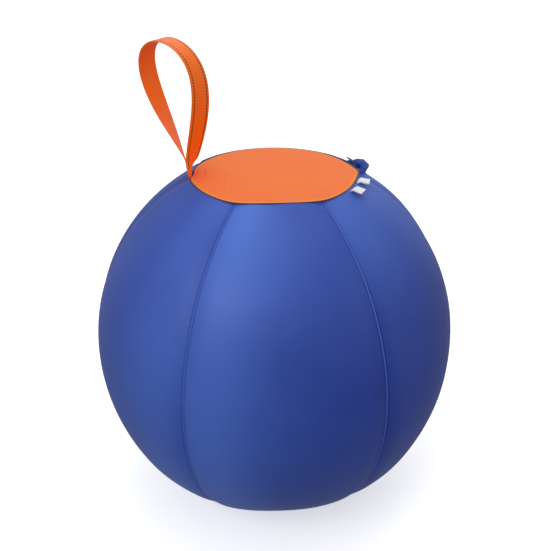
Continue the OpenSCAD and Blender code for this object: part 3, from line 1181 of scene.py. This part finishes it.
def disc_points():
    """The disc's cloth from its middle to its turned-under edge, and how far each point is in."""
    theta = around(DISC_COLUMNS)
    at_foot = hump(0, 8, angle_from(math.degrees(math.atan2(FOOT.y, FOOT.x)), theta))
    edge = rim_radius(theta) - 0.3 * MM + REACH_AT_REAR * hump(90, 60, theta) - NOTCH_AT_FOOT * at_foot
    share = np.linspace(0.004, 1, DISC_ROWS)[:, None] ** 0.8
    radius = (edge - ROLL) * share
    plan = round_place(radius, theta, 0)
    z = TOP_Z + disc_height(plan[..., 0], plan[..., 1]) + 0.15 * MM
    bend = np.linspace(0, math.pi, 9)[1:, None]
    lip = edge - ROLL + ROLL * np.sin(bend)
    drop = z[-1:] - ROLL * (1 - np.cos(bend))
    tuck = np.linspace(0.4, 3.0, 3)[:, None] * MM
    under = np.broadcast_to(drop[-1:], (3, DISC_COLUMNS)) - tuck * 0.1
    radius = np.concatenate([radius, lip, edge - ROLL - tuck])
    points = round_place(radius, theta, np.concatenate([z, drop, under]))
    return points, edge - radius


def make_disc():
    """The whole disc, as one sheet."""
    points, from_edge = disc_points()
    flat = wrapped(points[..., :2])
    points = points[:, ::-1]
    piece = grid_piece("disc_sheet", points, flat[:, ::-1], closed_columns=True)
    # Painted highlight on the rolled edge, and painted shade round the loop's foot.
    paint_points(piece, "edge", smoothstep(3.2 * MM, 0.6 * MM, from_edge[:, ::-1]))
    foot_gap = np.hypot(points[..., 0] - FOOT.x, points[..., 1] - FOOT.y)
    paint_points(piece, "painted_foot_shade", hump(0, 26 * MM, foot_gap) * 0.5)
    close_rings(piece, [range(DISC_COLUMNS)], facing=1)
    thicken(piece, DISC_T)
    dress(piece, None, orange_cloth, "disc_cloth", "top_disc", "top_flap")
    bend_at_fold(piece)


def bend_at_fold(piece):
    """Bakes the piece's placement into its mesh."""
    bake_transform(piece)


make_disc()

# %% [markdown]
# ## The seam round the disc
# Under the disc's rolled edge runs a thin bead of dark red thread and, below it, a row
# of navy stitches. Both follow the rim from one end of the zip round the front to the
# other.
# %% Bead and stitches at the rim
UP = np.array([0, 0, 1.0])
SEAM_FROM = GAP_TO + ZIP_CLEAR
SEAM_TO = 360 + GAP_FROM - ZIP_CLEAR


def rim_line(down, off):
    """A line round the rim, some way down the slope and off the cloth."""
    theta = np.linspace(SEAM_FROM, SEAM_TO, 420)
    share = cover_radius_share(theta, RIM_LAT)
    return on_slope(theta, down, off) * stacked(share, share, 1)


def tube_along(name, line, wide, closed=False):
    """A round bead along a line that lies nearly level."""
    along = unit(np.gradient(line, axis=0))
    if closed:
        along = unit(np.roll(line, -1, axis=0) - np.roll(line, 1, axis=0))
    side = unit(np.cross(along, UP))
    return carried(name, line, side, np.cross(side, along), round_outline(wide, wide, 10), closed)


rim_bead = tube_along("rim_bead", rim_line(0.7 * MM, 0.0 * MM), 1.0 * MM)
dress(rim_bead, "root", maroon_thread, "maroon_thread", "rim_seam")
navy_row("rim_stitches", [rim_line(1.8 * MM, 0.1 * MM)], 2.7, 2.4, 0.9, 0.7)

# %% [markdown]
# ## The base
# The ball stands on a round of dark coated cloth, which is pulled into the same soft
# hexagon as the bottom of the gores. A bead of thread closes the edge, just clear of
# the floor, and a row of stitches runs above it.
# %% Base cloth and its seam
BASE_COLUMNS = 240


def make_base():
    """The base's cloth, a little puffed, with its thickness over the floor."""
    theta = around(BASE_COLUMNS)
    edge = cover(theta, BASE_LAT)
    radius = np.hypot(edge[..., 0], edge[..., 1]) - 0.9 * MM
    share = np.linspace(0.02, 1, 46)[:, None]
    plan = round_place(radius * share, theta, 0)
    waves = ripple(plan[..., 0] / 0.06, plan[..., 1] / 0.06, 31)
    puff = 0.5 * MM + 0.35 * MM * waves * (1 - share**6)
    height = CLOTH_T + np.maximum(puff, 0.1 * MM)
    points = round_place(radius * share, theta, height)
    piece = grid_piece("base_sheet", points, wrapped(points[..., :2]), closed_columns=True)
    close_rings(piece, [range(BASE_COLUMNS)], facing=-1)
    thicken(piece, CLOTH_T)
    dress(piece, "root", base_material, "base_cloth", "base_disc")


make_base()
base_ring = cover(around(360)[0], BASE_LAT) * [0.985, 0.985, 1] + [0, 0, 1.4 * MM]
base_bead = tube_along("base_bead", base_ring, 1.0 * MM, closed=True)
dress(base_bead, "root", navy_thread, "navy_thread", "base_seam")
base_row = surface(np.linspace(0, 360, 361), BASE_LAT + 1.2, 0.2 * MM)
navy_row("base_stitches", [base_row], 2.8, 2.4, 0.7, 0.6)

# %% [markdown]
# ## The zip
# A nylon zip runs round the back of the disc. Its tape is woven in a herringbone, and
# its teeth are a coil: one spring-like thread on each tape. The tape with the disc's
# row lifts with the flap, so the two rows are separate pieces on separate bodies. A
# coil could be swept as a helix, but at this size a row of slanting turns, placed by
# the same tree as the stitches, looks the same and has far fewer faces.
# %% Zip tapes and coils
CHAIN_DOWN = ZIP_W / 2
CHAIN_GAP = 0.9 * MM
COIL_OFF = slope_place("zip_teeth_cover")[2]
COIL_W = 2.0 * MM
# How far the two tapes' inner rows stay from the flap's ends, in degrees
FLAP_CLEAR = 0.8
INNER_EDGE = CHAIN_DOWN - CHAIN_GAP
OUTER_EDGE = CHAIN_DOWN + CHAIN_GAP


def tape_strip(name, start, end, down_from, down_to):
    """A woven strip on the slope between two angles."""
    theta = np.linspace(start, end, max(8, int((end - start) * 2)))
    down = np.linspace(down_from, down_to, 7)
    low, high = TAPE_OFF
    loop_down = np.concatenate([down, down[::-1]])
    loop_off = np.concatenate([np.full(7, high), np.full(7, low)])
    wave = 0.12 * MM * np.sin(theta * 1.3)[:, None]
    points = on_slope(theta[:, None], loop_down[None, :], loop_off[None, :] + wave)
    along = RIM_R * np.radians(theta)[:, None]
    edge = np.append(loop_down, loop_down[0])[None, :]
    piece = grid_piece(name, points, stacked(edge, along), closed_columns=True)
    close_ends(piece, len(theta), len(loop_down))
    return piece


def coil_row(name, start, end, down):
    """The turns of one coil, each turn a capsule that lies across the row."""
    theta = np.linspace(start, end, int((end - start) * 4))
    low, high = COIL_OFF
    line = on_slope(theta, down, (low + high) / 2)
    return stitch_along(name, [line], 1.3 * MM, 0.95 * MM, COIL_W, high - low, teeth_material)


cover_tape = joined(
    "zip_tape_on_cover",
    [
        tape_strip("outer", GAP_FROM - 1, GAP_TO + 1, OUTER_EDGE, ZIP_W),
        tape_strip("inner_a", GAP_FROM - 1, FLAP_ANGLES[0] - FLAP_CLEAR, 0.1 * MM, INNER_EDGE),
        tape_strip("inner_b", FLAP_ANGLES[1] + FLAP_CLEAR, GAP_TO + 1, 0.1 * MM, INNER_EDGE),
    ],
)
dress(cover_tape, "root", tape_material, "zip_tape", "zip_tape_cover")
flap_tape = tape_strip("zip_tape_on_flap", *FLAP_ANGLES, 0.1 * MM, INNER_EDGE)
dress(flap_tape, "flap", tape_material, "zip_tape", "zip_tape_flap")

cover_coil = joined(
    "zip_coil_on_cover",
    [
        coil_row("outer", ZIP_ANGLES[0], ZIP_ANGLES[1], OUTER_EDGE + COIL_W / 2),
        coil_row("inner_a", ZIP_ANGLES[0], FLAP_ANGLES[0] - FLAP_CLEAR, INNER_EDGE - COIL_W / 2),
    ],
)
dress(cover_coil, "root", teeth_material, "zip_teeth", "zip_teeth_cover")
flap_ends = (FLAP_ANGLES[0] + 1.6, FLAP_ANGLES[1] - 1.6)
flap_coil = coil_row("zip_coil_on_flap", *flap_ends, INNER_EDGE - COIL_W / 2)
dress(flap_coil, "flap", teeth_material, "zip_teeth", "zip_teeth_flap")

# %% [markdown]
# The cover's cloth is top-stitched to the tape, a few millimetres from its edge, with
# two rows of navy thread.
# %% Top-stitching beside the zip
tape_turns = np.linspace(GAP_FROM + 2, GAP_TO - 2, 360)
upper_lats = np.linspace(40, RIM_LAT, 300)
tape_rows = []
for down in (EDGE_ON_TAPE + 2.2 * MM, EDGE_ON_TAPE + 5.0 * MM):
    lat = np.interp(-down, -rim_distance(upper_lats), upper_lats)
    lift = (0.25 + 0.7 * float(hump(0, 9 * MM, down - EDGE_ON_TAPE))) * MM
    tape_rows.append(surface(tape_turns, lat, lift))
navy_row("zip_stitches", tape_rows, 2.9, 2.5, 0.75, 0.6)

# %% [markdown]
# The slider, its pull, the stops and the valve are hard parts whose CAD shapes are
# right, so they stay and only take a finish.
# %% Finishes for the CAD parts that stay
KEPT_PARTS = {
    "zip_slider": metal_material,
    "zip_pull": metal_material,
    "zip_end_stops": metal_material,
    "valve_neck": plastic_material,
    "valve_plug": plastic_material,
}
for node_name, material in KEPT_PARTS.items():
    kept = frame["nodes"][node_name]
    kept.data.materials.clear()
    kept.data.materials.append(material)
print("kept", sorted(KEPT_PARTS))

# %% [markdown]
# ## The placket
# Beside the zip's closed end a fold of the cover's cloth stands up like an ear. It
# begins at the disc's seam, turns outward round the parked slider, and runs on beside
# the zip until it dies away. A folded strip could be extruded straight, but the real
# one is soft: its height, lean and thickness all change along it, and its top is
# crumpled. Navy thread binds its top edge.
# %% A crumpled fold of cloth
EAR_ANGLES, EAR_DOWN, EAR_OFF = slope_place("zip_placket")
EAR_T = 2.0 * MM


def placket_frame():
    """The fold's foot line, its height and the way it leans, from the seam to its end."""
    t = np.linspace(0, 1, 90)
    theta = EAR_ANGLES[0] - 1.0 + (EAR_ANGLES[1] - EAR_ANGLES[0] + 3.0) * t
    down = 1.2 * MM + (EAR_DOWN[0] - 1.0 * MM) * smoothstep(-0.12, 0.22, t) ** 1.2
    height = EAR_OFF[1] * (0.66 + 0.62 * smoothstep(0.0, 0.3, t))
    height = height * (1 - smoothstep(0.42, 1.0, t) * 0.93)
    lean = 0.35 * MM * np.sin(t * 23) - 1.6 * MM * smoothstep(0.1, 0.4, t)
    lean = lean + 1.0 * MM * smoothstep(0.5, 1, t)
    return t, theta, down, height, lean


def make_placket():
    """The fold as one closed outline, carried along its foot line."""
    t, theta, down, height, lean = placket_frame()
    count = 26
    turn = np.linspace(0, 2 * math.pi, count, endpoint=False)[None, :]
    t, theta, down, height, lean = (v[:, None] for v in (t, theta, down, height, lean))
    rise = (0.5 - 0.5 * np.cos(turn)) ** 0.8
    body = 0.55 + 0.45 * np.cos(turn) ** 2
    half = EAR_T / 2 * body * (0.35 + 0.65 * np.sin(np.pi * np.clip(t * 0.94 + 0.03, 0, 1)) ** 0.5)
    off = -0.6 * MM + (height + 0.6 * MM) * rise + 0.45 * MM * rise * np.sin(t * 31 + 1)
    bulge = 0.55 * MM * np.sin(t * 17 + rise * 5) * rise
    across = down + lean * rise**1.5 + half * np.sin(turn) + bulge
    points = on_slope(theta, across, off)
    along = RIM_R * np.radians(theta)
    edge = np.concatenate([rise * 2 * height.max(), rise[:, :1]], axis=1)
    flat = stacked(edge, along)
    piece = grid_piece("placket_fold", points[:, ::-1], flat[:, ::-1], closed_columns=True)
    close_ends(piece, points.shape[0], count)
    everywhere = np.ones_like(off)
    # Painted highlight towards the fold's top, and painted shade at its foot.
    paint_sheen_and_shade(piece, 0.34 + 0.18 * rise * everywhere, smoothstep(0.35, 0.0, rise) * 0.7 * everywhere)
    dress(piece, "root", satin, "cover_cloth", "zip_placket")


make_placket()
t, theta, down, height, lean = placket_frame()
ridge = on_slope(theta, down + lean, height + 0.45 * MM * np.sin(t * 31 + 1))[3:-8]
navy_row("placket_stitches", [ridge], 2.4, 2.1, 1.5, 0.7)

# %% [markdown]
# ## The webbing loop
# One length of webbing is bent into a teardrop whose two ends meet at the rim. Flat
# webbing doesn't stretch, so it is modelled directly: a flat outline is carried along
# the loop's middle line, turning about the vertical as it rises, with a further twist
# near the foot where the two sides lie on each other. The outline's coordinates run
# once across the outer face and once back across the inner one, which is how the
# finish knows where to draw the two dotted lines.
# %% The loop's path
LOOP_W = 67 * MM
LOOP_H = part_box("loop_webbing")[1].z - FOOT.z + 3 * MM
LOOP_TURN = math.radians(-33)
LOOP_LEAN = 23.5 * MM
LOOP_POWER = 1.8
LEG_GAP = WEB_T / 2 + 0.1 * MM
FOOT_TWIST = math.radians(-53)
LOOP_STEPS = 260


def loop_path():
    """The middle line of the webbing, its direction across and its outward direction."""
    peak_sin = math.sqrt((1 + LOOP_POWER) / (2 + LOOP_POWER))
    peak = 2 * peak_sin ** (LOOP_POWER + 1) * math.sqrt(1 - peak_sin**2)
    phi = np.linspace(0, 2 * math.pi, LOOP_STEPS)
    share = (1 - np.cos(phi)) / 2
    side = LOOP_W / 2 / peak * np.sin(phi) * np.sin(phi / 2) ** LOOP_POWER
    turn = LOOP_TURN * (1 - (1 - share) ** 3)
    apart = LEG_GAP * np.cos(phi / 2)
    shift = -(1.6 + 2.6 * (1 - share) + 3.3 * np.sin(np.pi * share)) * MM
    x = FOOT.x + shift + side * math.cos(LOOP_TURN) + apart * np.cos(turn) - LOOP_LEAN * share**2
    y = FOOT.y + side * math.sin(LOOP_TURN) + apart * np.sin(turn)
    line = np.stack([x, y, FOOT.z + LOOP_H * share], -1)
    along = unit(np.gradient(line, axis=0))
    twist = turn + FOOT_TWIST * np.sin(phi) * (1 - np.sin(phi / 2)) * smoothstep(0, 0.12, share)
    twist = twist - math.radians(24) * hump(4.55, 0.75, phi) - math.radians(7) * hump(1.7, 0.8, phi)
    across = np.stack([-np.sin(twist), np.cos(twist), np.zeros(LOOP_STEPS)], -1)
    across = unit(across - np.sum(across * along, -1, keepdims=True) * along)
    return line, along, across


def webbing_outline():
    """A flat outline with rounded edges, and its place across the two faces."""
    half = WEB_W / 2
    thick = WEB_T / 2
    flat_steps = np.linspace(-half + thick, half - thick, 12)
    bend = np.linspace(-math.pi / 2, math.pi / 2, 6)[1:-1]
    lower = np.stack([flat_steps, np.full(12, -thick)], -1)
    right = np.stack([half - thick + thick * np.cos(bend), thick * np.sin(bend)], -1)
    upper = np.stack([flat_steps[::-1], np.full(12, thick)], -1)
    outline = np.concatenate([lower, right, upper, -right])
    return outline, lengths_from(side_lengths(outline)) + thick


def make_loop():
    """The loop, from under the seam round to under the seam again."""
    line, along, across = loop_path()
    outline, place = webbing_outline()
    into_seam = [0, 0, 4 * MM]
    line = np.concatenate([line[:1] - into_seam, line, line[-1:] - into_seam])
    across = np.concatenate([across[:1], across, across[-1:]])
    along = np.concatenate([along[:1], along, along[-1:]])
    faces = np.cross(along, across)
    piece = carried("webbing_loop", line, across, faces, outline, flat_u=place)
    dress(piece, None, web_material, "webbing", "loop_webbing")
    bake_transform(piece)


make_loop()

# %% [markdown]
# The two ends of the webbing are sewn in under the disc, one on the other, and two
# bars of close zigzag stitches hold them through the cloth.
# %% Webbing ends and their bars of stitches


def make_tails():
    """The two ends of the webbing, one on the other."""
    low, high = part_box("loop_tails")
    parts = []
    outline, place = webbing_outline()
    for level in (0.26, 0.74):
        height = low.z + (high.z - low.z) * level
        x = np.linspace(low.x, high.x, 30)
        line = np.stack([x, np.full(30, (low.y + high.y) / 2), np.full(30, height)], -1)
        across = np.broadcast_to(np.array([0, 1.0, 0]), line.shape)
        up = np.broadcast_to(UP, line.shape)
        parts.append(carried("tail", line, across, up, outline * [1, 0.94], flat_u=place))
    dress(joined("webbing_ends", parts), "root", web_material, "webbing", "loop_tails")


def make_bartacks():
    """Two bars of zigzag stitches across the webbing's ends."""
    low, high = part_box("loop_bartack")
    lines = []
    steps = 46
    for bar in (low.x + 0.8 * MM, high.x - 0.8 * MM):
        y = np.linspace(low.y, high.y, steps)
        x = bar + np.where(np.arange(steps) % 2, 0.8, -0.8) * MM
        z = TOP_Z + disc_height(x, y) + 0.35 * MM
        lines.append(np.stack([x, y, z], -1))
    tacks = stitch_along("bartacks", lines, 0.6 * MM, 0.85 * MM, 0.5 * MM, 0.5 * MM, orange_thread)
    dress(tacks, "root", None, "orange_thread", "loop_bartack")


make_tails()
make_bartacks()

# %% [markdown]
# ## The labels
# Two narrow satin ribbons are each folded in half and caught in the rim seam by their
# cut ends. They carry nothing here. The outline of the fold, seen from the side, is a
# flat hairpin: out along the lower layer, round the free end and back. It is carried
# across the label's width, with a gentle curl. Near the seam it sinks into the cover, and
# beyond its hinge it tilts out and curls.
# %% Folded labels
LABEL_W = 14 * MM
LABEL_LEN = 10.5 * MM
LABEL_ROOT = 5 * MM
SATIN_T = 0.22 * MM
LABEL_TILT = SLOPE - math.radians(11)
LABEL_DROP = 1.6 * MM
LABEL_ARCH = 1.2 * MM


def hairpin_fold():
    """The folded ribbon seen from the side: distances from the hinge, and heights."""
    reach = np.linspace(0, 1, 26)
    bend = np.linspace(-math.pi / 2, math.pi / 2, 9)[1:-1]
    distance = -LABEL_ROOT + (LABEL_LEN + LABEL_ROOT - 0.5 * MM) * reach
    half_gap = 0.12 * MM + 0.32 * MM * np.sin(np.pi * reach) ** 0.7 + 0.1 * MM * reach
    lower = np.stack([distance, -half_gap], -1)
    tip = np.stack([distance[-1] + half_gap[-1] * np.cos(bend), half_gap[-1] * np.sin(bend)], -1)
    return np.concatenate([lower, tip, lower[::-1] * [1, -1]])


def label_heights(d, off, share, curl):
    """Heights of a ribbon: sunk at its root, tilted and curled beyond its hinge."""
    root_drop = LABEL_DROP * smoothstep(0.5 * MM, LABEL_ROOT, -d)
    height = off - d * math.tan(LABEL_TILT) * (d > 0) - root_drop + d * 0.2 * (d < 0)
    past = np.clip(d, 0, None) / LABEL_LEN
    return height + curl * MM * past**2 * (1 + 0.7 * share) - LABEL_ARCH * share**2


def make_label(name, node, joint, curl):
    """A folded ribbon at a label's hinge."""
    hinge = hinge_of(joint)
    turn = math.atan2(hinge.y, hinge.x)
    out = np.array([math.cos(turn), math.sin(turn), 0])
    aside = np.array([-math.sin(turn), math.cos(turn), 0])
    hairpin = hairpin_fold()
    d, off = hairpin[:, 0][:, None], hairpin[:, 1][:, None]
    w = np.linspace(-LABEL_W / 2, LABEL_W / 2, 16)[None, :]
    height = label_heights(d, off, w / LABEL_W, curl)
    distance_out = d * np.where(d > 0, math.cos(LABEL_TILT), 1)
    points = np.array(hinge) + distance_out[..., None] * out
    points = points + (w + 0 * d)[..., None] * aside + height[..., None] * UP
    length = lengths_from(np.linalg.norm(np.diff(hairpin, axis=0), axis=1))
    piece = grid_piece(name, points, stacked(w, length[:, None]))
    thicken(piece, SATIN_T, 0.0)
    dress(piece, None, label_material, "label_satin", node)
    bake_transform(piece)


make_label("care_ribbon", "care_label", "care_label_hinge", 1.6)
make_label("size_ribbon", "size_label", "size_label_hinge", 0.8)

# %% [markdown]
# ## The bladder
# Inside the cover is a bladder of milky film. It is seen only when the flap is open,
# but it is what holds the ball's shape. It is a closed form just inside the cover, and
# it is swollen by a cloth simulation with air pressure. A cap on how far a point may
# move keeps it inside the cover. Fine wrinkles are then drawn in round the valve.
# %% Bladder form
BLADDER_LOW, BLADDER_TOP = (corner.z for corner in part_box("bladder"))
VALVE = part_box("valve_neck")
VALVE_X = (VALVE[0].x + VALVE[1].x) / 2
VALVE_Y = (VALVE[0].y + VALVE[1].y) / 2
NECK_R = 5.6 * MM
BLADDER_COLUMNS = 200
SWELL_CAP = 1.0 * MM
SWELL_STEPS = 12


def bladder_rings():
    """Rings from the middle of the bottom, up the side, to the valve's hole."""
    theta = around(BLADDER_COLUMNS)
    lat = np.linspace(BASE_LAT + 1.2, RIM_LAT - 1.0, 110)[:, None]
    side = surface(theta, lat, -(CLOTH_T + 2.6 * MM))
    side[..., 2] = np.clip(side[..., 2], BLADDER_LOW, BLADDER_TOP - 0.6 * MM)
    share = np.linspace(0.05, 0.97, 14)[:, None, None]
    bottom = side[:1] * [1, 1, 0] * share + [0, 0, BLADDER_LOW]
    ring = NECK_R * round_place(1, theta, 0)
    hole = np.array([VALVE_X, VALVE_Y, BLADDER_TOP - 0.4 * MM]) + ring
    top = side[-1:] + (hole - side[-1:]) * np.linspace(0.03, 1, 40)[:, None, None]
    top[..., 2] = BLADDER_TOP - 0.5 * MM
    return np.concatenate([bottom, side, top])


def make_bladder():
    """The film, closed at the bottom, swollen and wrinkled."""
    rings = bladder_rings()
    flat = np.zeros((*rings.shape[:2], 2))
    piece = grid_piece("bladder_film", rings, wrapped(flat), closed_columns=True)
    close_rings(piece, [range(BLADDER_COLUMNS)[::-1]])
    swell(piece)
    wrinkle_top(piece)
    dress(piece, "root", film_material, "bladder_film", "bladder")


def put_points(mesh, points):
    """Moves a mesh's vertices to these points."""
    mesh.vertices.foreach_set("co", points.reshape(-1))
    mesh.update()


def swell(piece):
    """Air pressure swells the film a little; no point moves more than the cap."""
    before = points_of(piece.data)
    near_valve = np.hypot(before[:, 0] - VALVE_X, before[:, 1] - VALVE_Y) < NECK_R + 1 * MM
    group = piece.vertex_groups.new(name="held")
    group.add(np.nonzero(near_valve)[0].tolist(), 1.0, "REPLACE")
    film = piece.modifiers.new("film", "CLOTH")
    film.settings.use_pressure = True
    film.settings.uniform_pressure_force = 4
    film.settings.effector_weights.gravity = 0
    film.settings.vertex_group_mass = "held"
    film.settings.quality = 4
    scene = bpy.context.scene
    for step in range(1, SWELL_STEPS + 1):
        scene.frame_set(step)
    finished(piece)
    scene.frame_set(1)
    move = points_of(piece.data) - before
    length = np.linalg.norm(move, axis=1, keepdims=True)
    put_points(piece.data, before + move * np.minimum(1, SWELL_CAP / np.maximum(length, 1e-9)))
    most = round(float(length.max()) / MM, 2)
    print("bladder swelled by up to", most, "mm, kept to", SWELL_CAP / MM)


def wrinkle_top(piece):
    """Fine wrinkles that run out from the valve, where the film is drawn in."""
    points = points_of(piece.data)
    x, y = points[:, 0] - VALVE_X, points[:, 1] - VALVE_Y
    away = np.hypot(x, y)
    turn = np.arctan2(y, x)
    rays = np.sin(turn * 17) * 0.5 + np.sin(turn * 29 + 1) * 0.4
    wave = 0.5 * MM * rays * hump(24 * MM, 15 * MM, away) - 0.5 * MM * hump(30 * MM, 40 * MM, away) * 0.6
    sink = 0.5 * MM * smoothstep(8 * MM, 20 * MM, away)
    on_top = points[:, 2] > BLADDER_TOP - 4 * MM
    points[:, 2] += np.where(on_top, np.minimum(wave, 0.2 * MM) - sink, 0)
    put_points(piece.data, points)


make_bladder()
